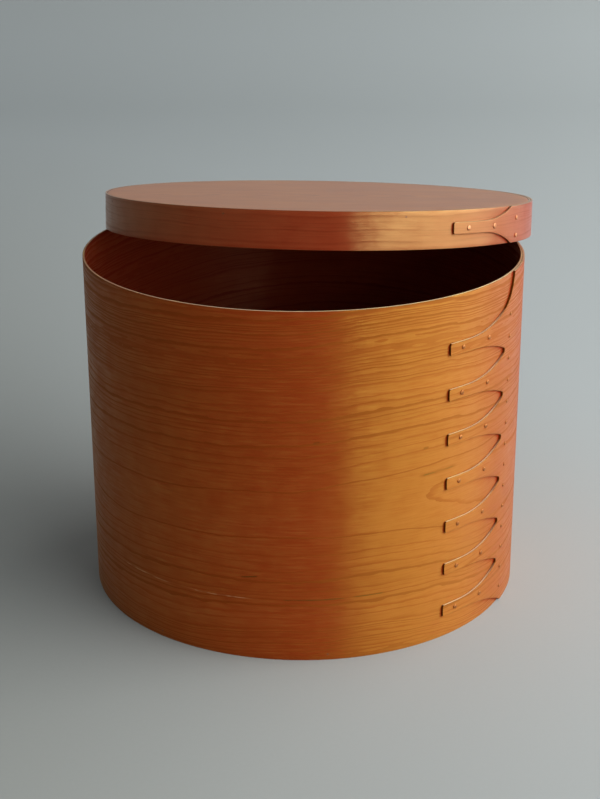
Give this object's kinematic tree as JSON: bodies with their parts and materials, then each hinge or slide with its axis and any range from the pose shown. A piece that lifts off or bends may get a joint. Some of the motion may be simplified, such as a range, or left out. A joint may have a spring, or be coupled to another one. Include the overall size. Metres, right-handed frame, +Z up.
{
  "type": "round bentwood box",
  "caption": "Round bentwood pantry box: a lapped band with swallowtail fingers and copper tacks, and a loose lid pushed back to rest tilted on the rim.",
  "frame": {"origin": "middle of the base, on the floor", "axes": "+Z up; the front with the lap faces -Y and +X is to the viewer's right"},
  "size_m": [0.3209, 0.3894, 0.2829],
  "materials": {
    "band_wood": "satin oiled cherry, grain running round the band",
    "board_wood": "satin oiled cherry board",
    "peg_wood": "end grain of a small hardwood peg",
    "copper": "bare copper, slightly dulled"
  },
  "bodies": {
    "box": {"box_band": "band_wood", "bottom_board": "board_wood", "bottom_pegs": "peg_wood", "finger_tacks": "copper", "root_tacks": "copper"},
    "lid": {"lid_band": "band_wood", "lid_board": "board_wood", "lid_pegs": "peg_wood", "lid_finger_tacks": "copper", "lid_root_tacks": "copper"}
  },
  "joints": [
    {"name": "lid_lift", "type": "slide", "parent": "box", "child": "lid", "axis": [0, 0, 1], "range_m": [0, 0.25]}
  ]
}
